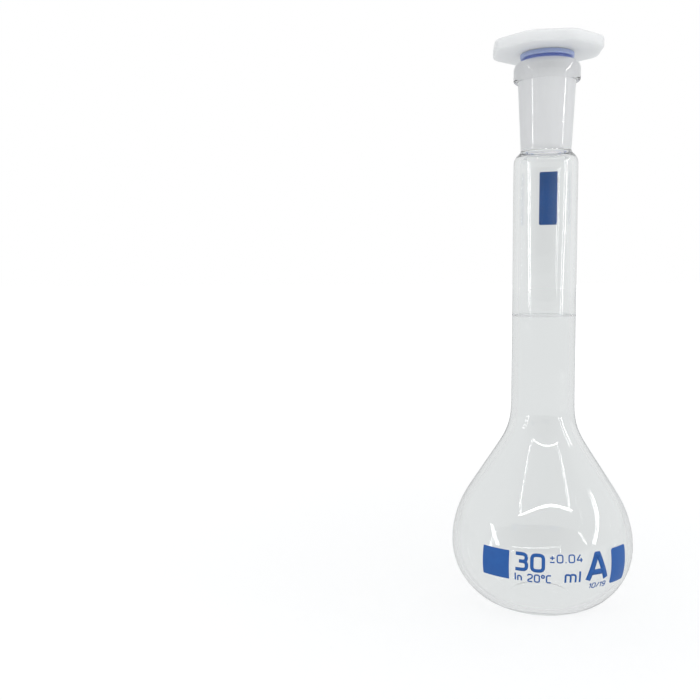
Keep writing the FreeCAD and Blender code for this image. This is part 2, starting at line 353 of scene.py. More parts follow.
def make_turning_tree():
    tree = bpy.data.node_groups.new("turned_on_one_axis", "GeometryNodeTree")
    kinds = {"Steps": "Int", "Corner": "Float", "Turn": "Float", "Finish": "Material"}
    source = tree_inputs(tree, kinds)
    given = {name: Wire(source.outputs[name]) for name in ("Geometry", *kinds)}
    profile, steps = given["Geometry"], given["Steps"]
    size = {"Geometry": profile}
    rows = Wire.node(tree, "GeometryNodeAttributeDomainSize", None, size, "Point Count")
    columns = steps + 1
    grid = shaped(tree, "MeshGrid", Vertices_X=rows, Vertices_Y=columns)
    index = shaped(tree, "InputIndex")
    row = ((index + ROUNDING_GUARD) / columns).floor()
    angle = (index - row * columns) / steps * math.tau
    named = {"Name": "flats"}
    flats = Wire.node(tree, "GeometryNodeInputNamedAttribute", {"data_type": "FLOAT"}, named)
    point = sample_profile(profile, shaped(tree, "InputPosition"), row, "FLOAT_VECTOR")
    amount = sample_profile(profile, flats, row, "FLOAT")
    radius = point.part("X") * (1 + amount * (octagon_factor(angle, given["Corner"]) - 1))
    spot = round_the_axis(radius, angle + given["Turn"], point.part("Z"))
    placed = shaped(tree, "SetPosition", Geometry=grid, Position=spot)
    closed = shaped(tree, "MergeByDistance", Geometry=placed, Distance=MERGE_DISTANCE)
    smooth = shaped(tree, "SetShadeSmooth", Geometry=closed)
    tree_output(tree, smooth, given["Finish"])
    return tree


turning_tree = make_turning_tree()
print("turning tree:", len(turning_tree.nodes), "nodes")

# %% [markdown]
# A tree's result lives in a modifier, and the rest of the work wants a plain mesh. So the tree runs
# once, its result is copied into a new mesh with the faces turned outwards, and the object that
# carried the modifier goes away. The angle for sharp edges keeps rounded parts smooth.


# %% from a tree to a plain mesh
def new_object(name, data):
    made = bpy.data.objects.new(name, data)
    bpy.context.scene.collection.objects.link(made)
    return made


def face_outwards(shape, mesh):
    """Writes a shape into a mesh, with its faces pointing out."""
    bmesh.ops.recalc_face_normals(shape, faces=shape.faces)
    shape.to_mesh(mesh)
    shape.free()


def set_input(modifier, name, value):
    sockets = modifier.node_group.interface.items_tree
    socket = next(item for item in sockets if item.name == name and item.in_out == "INPUT")
    modifier[socket.identifier] = value


def bake_tree(source, tree, **values):
    """Runs a tree on an object and gives back the result as a plain, closed, outward piece."""
    modifier = source.modifiers.new("shape", "NODES")
    modifier.node_group = tree
    for name, value in values.items():
        set_input(modifier, name, value)
    bpy.context.view_layer.update()
    evaluated = source.evaluated_get(bpy.context.evaluated_depsgraph_get())
    mesh = bpy.data.meshes.new_from_object(evaluated)
    while mesh.materials[0] is None:
        mesh.materials.pop(index=0)
    name = source.name
    bpy.data.objects.remove(source)
    mesh.name = name
    shape = bmesh.new()
    shape.from_mesh(mesh)
    face_outwards(shape, mesh)
    print(f"{name}: {len(mesh.polygons)} faces")
    return new_object(name, mesh)


# %% turned pieces
SHARP_ANGLE = math.radians(38)


def turned_piece(name, profile, finish, steps, flats=None, corner=0.0, turn=0.0):
    """Turns a profile of (radius, height) in millimetres into a piece."""
    mesh = bpy.data.meshes.new(name)
    mesh.from_pydata([(r * MM, 0, z * MM) for r, z in profile], [], [])
    amount = mesh.attributes.new("flats", "FLOAT", "POINT")
    amount.data.foreach_set("value", flats or [0.0] * len(profile))
    source = new_object(name, mesh)
    piece = bake_tree(source, turning_tree, Steps=steps, Corner=corner, Turn=turn, Finish=finish)
    piece.data.set_sharp_from_angle(angle=SHARP_ANGLE)
    return piece


# %% arcs and rounded runs
OUT, UP, IN, DOWN = 0.0, math.pi / 2, math.pi, -math.pi / 2
CORNER_STEPS = 4


def arc(centre_r, centre_z, radius, start, end, steps):
    """Points on an arc, from one angle to another."""
    angles = [start + (end - start) * step / steps for step in range(steps + 1)]
    return [(centre_r + radius * math.cos(a), centre_z + radius * math.sin(a)) for a in angles]


def rounded_run(points, radius, closed=False):
    """The same run with its corners replaced by short curves."""
    if not radius:
        return points
    count = len(points)
    result = [] if closed else [points[0]]
    for index in range(count if closed else count - 2):
        before, corner, after = (Vector(points[(index + step) % count]) for step in range(3))
        back = min(radius, (corner - before).length / 2)
        ahead = min(radius, (after - corner).length / 2)
        start = corner + (before - corner).normalized() * back
        end = corner + (after - corner).normalized() * ahead
        for step in range(CORNER_STEPS + 1):
            t = step / CORNER_STEPS
            result.append(tuple(start.lerp(corner, t).lerp(corner.lerp(end, t), t)))
    return result if closed else result + [points[-1]]


# %% [markdown]
# The flask's glass is one piece on the real object: bulb, neck and socket are melted together. Two
# shells with a seam between them would show a false line, so one closed profile goes up the outside
# from the foot, over the rolled bead and down the inside, with the wall as its thickness. Blown
# glass has no sudden change of bend. So each one is spread over a few millimetres of the wall, which
# lets a reflection flow along it, and the corners at the waist and the throat are eased.

# %% plan of the glass
NECK_BORE = NECK_RADIUS - WALL
JOINT_FOOT = RIM - JOINT_LENGTH
THROAT_RADIUS = JOINT_RADIUS - JOINT_SLOPE * JOINT_LENGTH
WAIST_RADIUS = THROAT_RADIUS + SOCKET_WALL
BELLY_CENTRE = BULB_RADIUS - BELLY
CONE_RUN = BULB_RADIUS - NECK_RADIUS - (CROWN + BLEND) * (1 - math.cos(CONE_ANGLE))
NECK_START = EQUATOR + (CROWN + BLEND) * math.sin(CONE_ANGLE) + CONE_RUN / math.tan(CONE_ANGLE)
SHOULDER_START = SEAM - SHOULDER_RISE
BEAD_FOOT = RIM - BEAD_HEIGHT


def joint_radius(height):
    return JOINT_RADIUS - JOINT_SLOPE * (RIM - height)


print(f"neck from {NECK_START:.1f} mm, ground cone from {JOINT_FOOT:.1f} mm")

# %% foot and blown wall
PUNT_STEPS = 8
BELLY_STEPS = 36
WALL_STEPS = 64
BEND_EASE = 5.0
BEND_SAMPLES = 20


def punt(lift):
    """The pushed-up middle of the foot, from the axis out."""
    dome = (PUNT_RADIUS**2 + PUNT_DEPTH**2) / (2 * PUNT_DEPTH)
    half = math.asin(PUNT_RADIUS / dome)
    return arc(0, lift + PUNT_DEPTH - dome, dome, UP, UP - half, PUNT_STEPS)


def eased_wall(inset):
    """Crown, cone and neck blend as one run, with each change of bend spread over a length."""
    crown_end = (CROWN - inset) * CONE_ANGLE
    cone_end = crown_end + CONE_RUN / math.sin(CONE_ANGLE)
    blend_end = cone_end + (BLEND + inset) * CONE_ANGLE

    def lean(length):
        leaning_in = length / (CROWN - inset)
        straightening = max((blend_end - length) / (BLEND + inset), 0.0)
        return min(leaning_in, CONE_ANGLE, straightening)

    def eased_lean(length):
        shares = [sample / BEND_SAMPLES - 0.5 for sample in range(BEND_SAMPLES + 1)]
        return sum(lean(length + BEND_EASE * share) for share in shares) / len(shares)

    step = (blend_end + BEND_EASE / 2) / WALL_STEPS
    run = [(0.0, 0.0)]
    for index in range(WALL_STEPS):
        angle = eased_lean((index + 0.5) * step)
        drop, rise = run[-1]
        run.append((drop + step * math.sin(angle), rise + step * math.cos(angle)))
    drop_share = (BULB_RADIUS - NECK_RADIUS) / run[-1][0]
    rise_share = (NECK_START + BEND_EASE / 2 - EQUATOR) / run[-1][1]
    start = BULB_RADIUS - inset
    return [(start - drop * drop_share, EQUATOR + rise * rise_share) for drop, rise in run]


def blown_wall(inset):
    """Belly, crown, cone and neck blend, moved in by the inset, from the foot up to the neck."""
    dip = math.asin((EQUATOR - inset) / (BELLY - inset))
    belly = arc(BELLY_CENTRE, EQUATOR, BELLY - inset, -dip, OUT, BELLY_STEPS)
    return belly + eased_wall(inset)[1:]


# %% shoulder, waist and throat
SHOULDER_STEPS = 12
WAIST_EASE = 0.5
THROAT_EASE = 0.6
EASED_STEPS = 5


def shoulder(radius, end_radius, rise):
    """The rounded step from the neck in to the waist."""
    reach = radius - end_radius
    bend = (reach**2 + rise**2) / (2 * reach)
    return arc(radius - bend, SHOULDER_START, bend, OUT, math.asin(rise / bend), SHOULDER_STEPS)


def eased_end(points, after, ease):
    """The same points, with a soft turn at the last one towards the point after it."""
    return points[:-EASED_STEPS] + rounded_run([points[-EASED_STEPS], points[-1], after], ease)[1:]


waist_top = SEAM + 2 * WAIST_EASE
waist_after = (joint_radius(waist_top) + SOCKET_WALL, waist_top)
throat_after = (THROAT_RADIUS, JOINT_FOOT)
step_in = shoulder(NECK_RADIUS, WAIST_RADIUS, SHOULDER_RISE)
throat_in = shoulder(NECK_BORE, THROAT_RADIUS, SHOULDER_RISE - THROAT_LAND)
print(f"waist {2 * WAIST_RADIUS:.1f} mm, throat {2 * THROAT_RADIUS:.1f} mm")

# %% rolled bead
BEAD_TOP_ROUND = 1.8
BEAD_TOP_STEPS = 14
BEAD_UNDER_ROUND = 0.9
BEAD_UNDER_REACH = 0.15
BEAD_UNDER_END = -0.6
BEAD_UNDER_STEPS = 8
BEAD_FILLET = 0.25
BEAD_FILLET_STEPS = 5
MOUTH_ROUND = 0.3
MOUTH_STEPS = 6


def bead():
    """The rolled rim: fillet, round underside, straight side and round top, in to the mouth."""
    wall = joint_radius(BEAD_FOOT) + SOCKET_WALL
    fillet = arc(
        wall + BEAD_FILLET, BEAD_FOOT - BEAD_FILLET, BEAD_FILLET, IN, UP, BEAD_FILLET_STEPS
    )
    under_r = BEAD_RADIUS - BEAD_UNDER_ROUND + BEAD_UNDER_REACH
    under_z = BEAD_FOOT + BEAD_UNDER_ROUND
    under = arc(under_r, under_z, BEAD_UNDER_ROUND, DOWN, BEAD_UNDER_END, BEAD_UNDER_STEPS)
    top_r, top_z = BEAD_RADIUS - BEAD_TOP_ROUND, RIM - BEAD_TOP_ROUND
    top = arc(top_r, top_z, BEAD_TOP_ROUND, OUT, UP, BEAD_TOP_STEPS)
    mouth = arc(JOINT_RADIUS + MOUTH_ROUND, RIM - MOUTH_ROUND, MOUTH_ROUND, UP, IN, MOUTH_STEPS)
    return fillet + [point for point in under if point[0] < BEAD_RADIUS] + top + mouth


# %% one shell of glass
GLASS_STEPS = 256
outside = punt(0) + blown_wall(0) + eased_end(step_in, waist_after, WAIST_EASE)
inside = punt(WALL) + blown_wall(WALL) + eased_end(throat_in, throat_after, THROAT_EASE)
glass_profile = outside + bead() + inside[::-1]
flask_glass = turned_piece("flask_glass", glass_profile, clear_glass, GLASS_STEPS)

# %% ground zone of the socket
GROUND_SLOT = 1
GROUND_DEPTH = 0.2
flask_glass.data.materials.append(ground_glass)
ground_faces = 0
for face in flask_glass.data.polygons:
    middle = face.center / MM
    is_inside = math.hypot(middle.x, middle.y) < joint_radius(middle.z) + GROUND_DEPTH
    if is_inside and JOINT_FOOT < middle.z < RIM - MOUTH_ROUND:
        face.material_index = GROUND_SLOT
        ground_faces += 1
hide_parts("bulb_and_neck", "ground_socket")
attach(flask_glass, "flask")
print("ground faces:", ground_faces)

# %% [markdown]
# The stopper is moulded in natural polyethylene, a milky, waxy plastic that light soaks into. A
# grey plastic would look dead here, so the shader scatters light under the surface. Its head is an
# octagon, which stops it from rolling away, and its shank is a hollow cone that fits the socket.

# %% milky polyethylene
MILKY_DEPTH = 0.010
MILKY_SPREAD = (1.0, 1.0, 1.0)
MILKY_IOR = 1.51
MILKY_CLOUD = (180.0, 3.0)
MILKY_TINTS = ((0.612, 0.622, 0.632), (0.662, 0.667, 0.672))
MILKY_GRAIN = (2600.0, 2.0)
MILKY_ROUGHNESS = (0.34, 0.16)
MILKY_BUMP = (0.12, 0.0001)


def make_polyethylene():
    material, tree, shader, place = new_material("milky_polyethylene")
    feed(shader, Subsurface_Weight=1.0, Subsurface_Scale=MILKY_DEPTH)
    feed(shader, Subsurface_Radius=MILKY_SPREAD, IOR=MILKY_IOR)
    tint = colour_between(noise(place, *MILKY_CLOUD), *MILKY_TINTS)
    grain = noise(place, *MILKY_GRAIN)
    feed(shader, Base_Color=tint, Roughness=spread(grain, *MILKY_ROUGHNESS))
    feed(shader, Normal=bump(grain, *MILKY_BUMP))
    return material


polyethylene = make_polyethylene()
print("stopper finish:", polyethylene.name)

# %% stopper
HEAD_APOTHEM = 11.5
HEAD_THICKNESS = 2.4
HEAD_ROUND = 0.5
HEAD_CORNER = 4.4
HEAD_TURN = math.radians(-6.6)
HEAD_UNDERSIDE = HEAD_TOP - HEAD_THICKNESS
JOURNAL_RADIUS = 4.0
COLLAR_PLAY = 0.05
SHANK_CLEARANCE = 0.05
SHANK_TOP = COLLAR_FOOT - COLLAR_PLAY
SHANK_BORE = 2.7
SHANK_BORE_DEPTH = 15.0
TIP_ROUND = 0.4
EDGE_STEPS = 6
BORE_STEPS = 8
STOPPER_STEPS = 320


def stopper_profile():
    """Points of the head, with flats, and of journal, shank and bore, without."""
    rim_r = HEAD_APOTHEM - HEAD_ROUND
    top = arc(rim_r, HEAD_TOP - HEAD_ROUND, HEAD_ROUND, UP, OUT, EDGE_STEPS)
    under = arc(rim_r, HEAD_UNDERSIDE + HEAD_ROUND, HEAD_ROUND, OUT, DOWN, EDGE_STEPS)
    head = [(0, HEAD_TOP), *top, *under]
    tip_r = joint_radius(SHANK_TIP) - SHANK_CLEARANCE - TIP_ROUND
    bore_top = SHANK_TIP + SHANK_BORE_DEPTH
    shank = [
        (JOURNAL_RADIUS, HEAD_UNDERSIDE),
        (JOURNAL_RADIUS, SHANK_TOP),
        (joint_radius(SHANK_TOP) - SHANK_CLEARANCE, SHANK_TOP),
        *arc(tip_r, SHANK_TIP + TIP_ROUND, TIP_ROUND, OUT, DOWN, EDGE_STEPS),
        (SHANK_BORE, SHANK_TIP),
        *arc(0, bore_top - SHANK_BORE, SHANK_BORE, OUT, UP, BORE_STEPS),
    ]
    return head, shank


head_points, shank_points = stopper_profile()
stopper = turned_piece(
    "stopper_moulding",
    head_points + shank_points,
    polyethylene,
    STOPPER_STEPS,
    flats=[1.0] * len(head_points) + [0.0] * len(shank_points),
    corner=HEAD_CORNER / HEAD_APOTHEM,
    turn=HEAD_TURN,
)
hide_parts("stopper")
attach(stopper, "stopper")

# %% [markdown]
# The blue collar sits under the head and tells which joint size the stopper is for. It is a moulded
# ring with a flange above the rim and a lip that reaches into the mouth. Its blue is painted paler
# from the core out to the flange's edge: painted light, for light that comes through the thin edge.

# %% blue plastic
# From the core out, the blue is painted paler over this ramp: painted light at the flange's edge.
COLLAR_CORE = 5.1
COLLAR_PAINTED_LIGHT_RAMP = 0.4
COLLAR_SOAK = 0.4
COLLAR_SPREAD = (0.4, 0.5, 1.0)
COLLAR_DEPTH = 0.001
COLLAR_GRAIN = (2200.0, 2.0)
COLLAR_GRAIN_SHARE = 0.25
# The paler tint is painted light at the flange's edge, mixed with random grain.
COLLAR_TINTS_AND_PAINTED_LIGHT = ((0.13, 0.18, 0.50), (0.40, 0.47, 0.69))
COLLAR_ROUGHNESS = (0.3, 0.2)
COLLAR_BUMP = (0.1, 0.0001)


def make_blue_plastic():
    material, tree, shader, place = new_material("blue_plastic")
    feed(shader, Subsurface_Weight=COLLAR_SOAK, Subsurface_Scale=COLLAR_DEPTH)
    feed(shader, Subsurface_Radius=COLLAR_SPREAD)
    grain = noise(place, *COLLAR_GRAIN)
    x, y = place.part("X"), place.part("Y")
    # Painted light: the blue is painted paler from the core out to the flange's edge.
    painted_edge_light = ((x * x + y * y).root() / MM - COLLAR_CORE) / COLLAR_PAINTED_LIGHT_RAMP
    painted_light_and_grain = painted_edge_light.at_least(0.0).at_most(1.0) + grain * COLLAR_GRAIN_SHARE
    tint = colour_between(painted_light_and_grain / (1 + COLLAR_GRAIN_SHARE), *COLLAR_TINTS_AND_PAINTED_LIGHT)
    feed(shader, Base_Color=tint, Roughness=spread(grain, *COLLAR_ROUGHNESS))
    feed(shader, Normal=bump(grain, *COLLAR_BUMP))
    return material


blue_plastic = make_blue_plastic()
print("collar finish:", blue_plastic.name)

# %% collar
COLLAR_FLANGE = 0.95
COLLAR_LIP_CLEARANCE = 0.06
COLLAR_BORE = JOURNAL_RADIUS + COLLAR_PLAY
COLLAR_ROUND = 0.15
COLLAR_ROUND_STEPS = 4
COLLAR_STEPS = 160


def collar_profile():
    """A closed loop: bore, foot of the lip, lip, flange and top."""
    lip_r = joint_radius(COLLAR_FOOT) - COLLAR_LIP_CLEARANCE
    flange_z = COLLAR_TOP - COLLAR_FLANGE
    edge = COLLAR_RADIUS - COLLAR_ROUND

    def rounding(r, z, start, end):
        return arc(r, z, COLLAR_ROUND, start, end, COLLAR_ROUND_STEPS)

    loop = [
        (COLLAR_BORE, COLLAR_TOP),
        (COLLAR_BORE, COLLAR_FOOT),
        *rounding(lip_r - COLLAR_ROUND, COLLAR_FOOT + COLLAR_ROUND, DOWN, OUT),
        (lip_r, flange_z),
        *rounding(edge, flange_z + COLLAR_ROUND, DOWN, OUT),
        *rounding(edge, COLLAR_TOP - COLLAR_ROUND, OUT, UP),
    ]
    return loop + loop[:1]


collar = turned_piece("collar_moulding", collar_profile(), blue_plastic, COLLAR_STEPS)
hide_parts("colour_ring")
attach(collar, "collar")

# %% [markdown]
# Enamel is fired into the surface of the glass: a coat a few hundredths of a millimetre thick, with
# a satin face and slightly uneven cover. Each coat is a real thin solid that follows the glass. It
# stands a hair off it, because two faces in exactly the same place confuse the renderer.

# %% enamel finishes
ENAMEL_LIFT = 0.01
ENAMEL_COAT = 0.05
ENAMEL_SHEEN = 0.35
ENAMEL_COVER = (900.0, 4.0)
ENAMEL_ROUGHNESS = (0.38, 0.2)
ENAMEL_BUMP = (0.08, 0.00005)
BLUE_TINTS = ((0.011, 0.088, 0.345), (0.018, 0.117, 0.40))
# The neck panel's blue is a darker copy of the blue enamel: painted shade, for the panel on the back
# of the neck.
PAINTED_SHADE_BLUE_TINTS = ((0.002, 0.060, 0.245), (0.004, 0.078, 0.295))
PALE_TINTS = ((0.86, 0.87, 0.88), (0.95, 0.95, 0.95))
PALE_GLOW = 0.5


def make_enamel(name, tints, glow_through=0.0):
    material, tree, shader, place = new_material(name)
    feed(shader, Transmission_Weight=glow_through, Specular_IOR_Level=ENAMEL_SHEEN)
    cover = noise(place, *ENAMEL_COVER)
    feed(shader, Base_Color=colour_between(cover, *tints))
    feed(shader, Roughness=spread(cover, *ENAMEL_ROUGHNESS), Normal=bump(cover, *ENAMEL_BUMP))
    return material


blue_enamel = make_enamel("blue_enamel", BLUE_TINTS)
painted_shade_enamel = make_enamel("painted_shade_blue_enamel", PAINTED_SHADE_BLUE_TINTS)
pale_enamel = make_enamel("pale_enamel", PALE_TINTS, PALE_GLOW)
print("enamels:", blue_enamel.name, painted_shade_enamel.name, pale_enamel.name)

# %% graduation line
LINE_STEPS = 192
line_in = NECK_RADIUS + ENAMEL_LIFT
line_out = line_in + ENAMEL_COAT
line_loop = [
    (line_in, LINE_FOOT),
    (line_out, LINE_FOOT),
    (line_out, LINE_TOP),
    (line_in, LINE_TOP),
    (line_in, LINE_FOOT),
]
graduation = turned_piece("graduation_line", line_loop, pale_enamel, LINE_STEPS)
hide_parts("graduation_ring")
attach(graduation, "flask")

# %% [markdown]
# The printed figures are strokes of one width, laid out flat and then wrapped onto the bulb, the way
# a screen print is. Each sign is a few straight runs with rounded corners, drawn on a grid one unit
# high. A second Geometry Nodes tree gives each stroke its width and coat and moves it onto the glass.

# %% strokes of the signs
SIGN_CORNER = 0.24
SIGNS = {
    "0": (0.64, [("loop", [(0, 0), (0.64, 0), (0.64, 1), (0, 1)])]),
    "1": (0.28, [("sharp", [(0, 0.76), (0.24, 1), (0.24, 0)])]),
    "2": (0.6, [("run", [(0, 0.8), (0, 1), (0.6, 1), (0.6, 0.55), (0, 0.25), (0, 0), (0.6, 0)])]),
    "3": (
        0.64,
        [
            ("run", [(0, 1), (0.62, 1), (0.62, 0.53), (0.2, 0.53)]),
            ("run", [(0.2, 0.53), (0.64, 0.53), (0.64, 0), (0, 0)]),
        ],
    ),
    "4": (
        0.68,
        [
            ("sharp", [(0.42, 1), (0, 0.28), (0.68, 0.28)]),
            ("sharp", [(0.5, 0.55), (0.5, 0)]),
        ],
    ),
    "9": (
        0.6,
        [
            ("loop", [(0, 0.45), (0.6, 0.45), (0.6, 1), (0, 1)]),
            ("run", [(0.6, 0.72), (0.6, 0), (0.08, 0)]),
        ],
    ),
    "±": (
        0.52,
        [
            ("sharp", [(0, 0.6), (0.52, 0.6)]),
            ("sharp", [(0.26, 0.34), (0.26, 0.86)]),
            ("sharp", [(0, 0.04), (0.52, 0.04)]),
        ],
    ),
    ".": (0.12, [("sharp", [(0, 0.02), (0.12, 0.02)])]),
    "/": (0.42, [("sharp", [(0, 0), (0.42, 1)])]),
    "°": (0.36, [("loop", [(0, 0.62), (0.36, 0.62), (0.36, 1), (0, 1)])]),
    "I": (0.1, [("sharp", [(0.05, 1), (0.05, 0)])]),
    "n": (
        0.48,
        [
            ("sharp", [(0, 0.66), (0, 0)]),
            ("run", [(0, 0.66), (0.48, 0.66), (0.48, 0)]),
        ],
    ),
    "m": (
        0.84,
        [
            ("sharp", [(0, 0.72), (0, 0)]),
            ("run", [(0, 0.72), (0.42, 0.72), (0.42, 0)]),
            ("run", [(0.42, 0.72), (0.84, 0.72), (0.84, 0)]),
        ],
    ),
    "l": (0.1, [("sharp", [(0.05, 1), (0.05, 0)])]),
    "C": (0.58, [("run", [(0.58, 1), (0, 1), (0, 0), (0.58, 0)])]),
    "A": (
        0.8,
        [
            ("sharp", [(0, 0), (0.37, 1)]),
            ("sharp", [(0.43, 1), (0.8, 0)]),
            ("sharp", [(0.29, 0.96), (0.51, 0.96)]),
            ("sharp", [(0.14, 0.3), (0.66, 0.3)]),
        ],
    ),
    " ": (0.3, []),
}
print("signs drawn:", len(SIGNS))

# %% the print tree
PRINT_STEP = 0.12


def make_print_tree():
    tree = bpy.data.node_groups.new("print_on_bulb", "GeometryNodeTree")
    sizes = ("Stroke", "Coat", "Lift", "Bulb", "Equator", "Belly", "Crown")
    source = tree_inputs(tree, {**{name: "Float" for name in sizes}, "Finish": "Material"})
    given = {name: Wire(source.outputs[name]) for name in ("Geometry", *sizes, "Finish")}
    even = {"Curve": given["Geometry"], "Length": PRINT_STEP * MM}
    runs = Wire.node(tree, "GeometryNodeResampleCurve", {"mode": "LENGTH"}, even)
    section = shaped(
        tree, "CurvePrimitiveQuadrilateral", Width=given["Stroke"], Height=given["Coat"]
    )
    coat = shaped(tree, "CurveToMesh", Curve=runs, Profile_Curve=section, Fill_Caps=True)
    flat = shaped(tree, "InputPosition")
    height = flat.part("Y")
    rise = height - given["Equator"]
    above = rise > 0.0
    bend = above * given["Crown"] + (1 - above) * given["Belly"]
    surface = given["Bulb"] - bend + (bend * bend - rise * rise).root()
    radius = surface + given["Lift"] + given["Coat"] / 2 + flat.part("Z")
    spot = round_the_axis(radius, flat.part("X") / given["Bulb"], height)
    wrapped = shaped(tree, "SetPosition", Geometry=coat, Position=spot)
    tree_output(tree, wrapped, given["Finish"])
    return tree


print_tree = make_print_tree()
print("print tree:", len(print_tree.nodes), "nodes")

# %% [markdown]
# Each printed line is given by what it says, the angle where it starts and the height of its foot
# on the bulb, and its height and stroke. Only plain measuring marks are printed: the volume, its
# tolerance, the temperature, the accuracy class and the joint size. Where strokes cross, each lies
# a hair above the one before.

# %% flat strokes
SIGN_GAP = 0.3
STROKE_STEP = 0.002


def flat_strokes(text, start, foot, height, stroke, spread_out, slant):
    """Runs of points in millimetres for a line of signs, inside its height by half a stroke."""
    runs = []
    pen = 0.0
    tall = height - stroke
    for sign in text:
        width, strokes = SIGNS[sign]
        for kind, points in strokes:
            closed = kind == "loop"
            lift = len(runs) * STROKE_STEP
            placed = []
            for x, y in rounded_run(points, 0 if kind == "sharp" else SIGN_CORNER, closed):
                across = (pen + x) * tall * spread_out + y * tall * slant
                placed.append((start + stroke / 2 + across, foot + stroke / 2 + y * tall, lift))
            runs.append((placed, closed))
        pen += width + SIGN_GAP
    return runs


# %% printed lines
def printed_line(name, text, azimuth, foot, height, stroke, spread_out, slant=0.0):
    start = math.radians(azimuth) * BULB_RADIUS
    data = bpy.data.curves.new(name, "CURVE")
    data.dimensions = "3D"
    data.twist_mode = "Z_UP"
    for points, closed in flat_strokes(text, start, foot, height, stroke, spread_out, slant):
        spline = data.splines.new("POLY")
        spline.points.add(len(points) - 1)
        for target, (x, y, z) in zip(spline.points, points):
            target.co = (x * MM, y * MM, z * MM, 1.0)
        spline.use_cyclic_u = closed
    piece = bake_tree(
        new_object(name, data),
        print_tree,
        Stroke=stroke * MM,
        Coat=ENAMEL_COAT * MM,
        Lift=ENAMEL_LIFT * MM,
        Bulb=BULB_RADIUS * MM,
        Equator=EQUATOR * MM,
        Belly=BELLY * MM,
        Crown=CROWN * MM,
        Finish=blue_enamel,
    )
    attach(piece, "flask")


printed_line(
    "capacity_figures", "30", azimuth=-28.3, foot=12.65, height=3.95, stroke=0.72, spread_out=1.12
)
printed_line(
    "tolerance_figures", "±0.04", azimuth=-7.5, foot=14.75, height=1.8, stroke=0.26, spread_out=1.17
)
printed_line(
    "temperature_line", "In 20°C", azimuth=-28.0, foot=10.4, height=1.85, stroke=0.3, spread_out=0.98
)
printed_line(
    "unit_letters", "ml", azimuth=1.6, foot=10.4, height=2.75, stroke=0.4, spread_out=1.1
)
printed_line(
    "class_letter", "A", azimuth=14.6, foot=10.2, height=6.7, stroke=1.2, spread_out=1.03
)
printed_line(
    "joint_size_figures", "10/19", azimuth=17.5, foot=8.85, height=1.25, stroke=0.2,
    spread_out=1.15, slant=0.15,
)

# %% [markdown]
# The solid patches, a square and a panel on the bulb and a panel on the back of the neck, are grids
# bent to the glass, with rounded corners. A grid of small faces follows the double curve of the bulb.

# %% faces of a patch
PATCH_COLUMNS = 24
PATCH_ROWS = 32


def bulb_surface(height):
    bend = CROWN if height > EQUATOR else BELLY
    return BULB_RADIUS - bend + math.sqrt(bend**2 - (height - EQUATOR) ** 2)


def neck_surface(height):
    return NECK_RADIUS


def corner_inset(height, low, high, corner):
    """How far a rounded corner draws the side in at a height."""
    near = min(height - low, high - height)
    if near >= corner:
        return 0.0
    return corner - math.sqrt(max(corner**2 - (corner - near) ** 2, 0.0))


def patch_heights(low, high):
    """Row heights, closer together near the rounded ends."""
    turns = [math.pi * row / PATCH_ROWS for row in range(PATCH_ROWS + 1)]
    return [low + (high - low) * (1 - math.cos(turn)) / 2 for turn in turns]


def patch_layer(shape, outline, azimuth, surface, lift):
    """One face of a coat: rows of points at their heights, moved out from the glass by a lift."""
    grid = []
    for height, half_angle in outline:
        radius = surface(height) + lift
        row = []
        for column in range(PATCH_COLUMNS + 1):
            angle = azimuth + half_angle * (2 * column / PATCH_COLUMNS - 1)
            spot = Vector((radius * math.sin(angle), -radius * math.cos(angle), height)) * MM
            row.append(shape.verts.new(spot))
        grid.append(row)
    for low_row, high_row in zip(grid, grid[1:]):
        for left in range(PATCH_COLUMNS):
            right = left + 1
            shape.faces.new((low_row[left], low_row[right], high_row[right], high_row[left]))
    return grid


def border(grid):
    """The points round the edge of a grid, in order."""
    right = [row[-1] for row in grid[1:-1]]
    left = [row[0] for row in grid[1:-1]]
    return grid[0] + right + grid[-1][::-1] + left[::-1]


# %% enamel patches
def enamel_patch(name, node, finish, surface, round_radius, azimuth, width, corner):
    low, high = (corner_point[2] / MM for corner_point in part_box(node))
    outline = []
    for height in patch_heights(low, high):
        half = width / 2 - corner_inset(height, low, high, corner)
        outline.append((height, half / round_radius))
    shape = bmesh.new()
    lifts = (ENAMEL_LIFT, ENAMEL_LIFT + ENAMEL_COAT)
    middle = math.radians(azimuth)
    layers = [patch_layer(shape, outline, middle, surface, lift) for lift in lifts]
    inner, outer = (border(grid) for grid in layers)
    for index in range(len(inner)):
        following = (index + 1) % len(inner)
        shape.faces.new((inner[index], inner[following], outer[following], outer[index]))
    mesh = bpy.data.meshes.new(name)
    face_outwards(shape, mesh)
    mesh.materials.append(finish)
    piece = new_object(name, mesh)
    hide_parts(node)
    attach(piece, "flask")
    print(f"{name}: {low:.1f} to {high:.1f} mm high")


enamel_patch(
    "square_print", "marking_square", blue_enamel, bulb_surface, BULB_RADIUS,
    azimuth=-40.3, width=6.3, corner=0.15,
)
enamel_patch(
    "panel_print", "bulb_panel", blue_enamel, bulb_surface, BULB_RADIUS,
    azimuth=41.1, width=5.1, corner=0.6,
)
# The neck panel takes the darker copy of the blue enamel, as painted shade.
enamel_patch(
    "neck_print", "neck_panel", painted_shade_enamel, neck_surface, NECK_RADIUS,
    azimuth=160.6, width=4.7, corner=0.35,
)

# %% [markdown]
# The stage is a pale floor under an even, pale sky. The camera sees the sky as plain white, and the
# glass sees a softer grey behind it, which is what makes clear glass readable on white. Light that
# the glass mirrors finds the front of the sky dimmer still, as a room in front of a lit backdrop is,
# so that the lamps' lines stand out on it.

# %% tone of the backdrop
BACKDROP_LEVEL = 0.77
BACKDROP_SIDES = 0.08
BACKDROP_TINT = (0.985, 1.0, 1.005)
WHITE = (1.0, 1.0, 1.0, 1.0)


def backdrop_level(across):
    """How light the backdrop is, a little lighter to both sides."""
    return BACKDROP_LEVEL + across * across * BACKDROP_SIDES


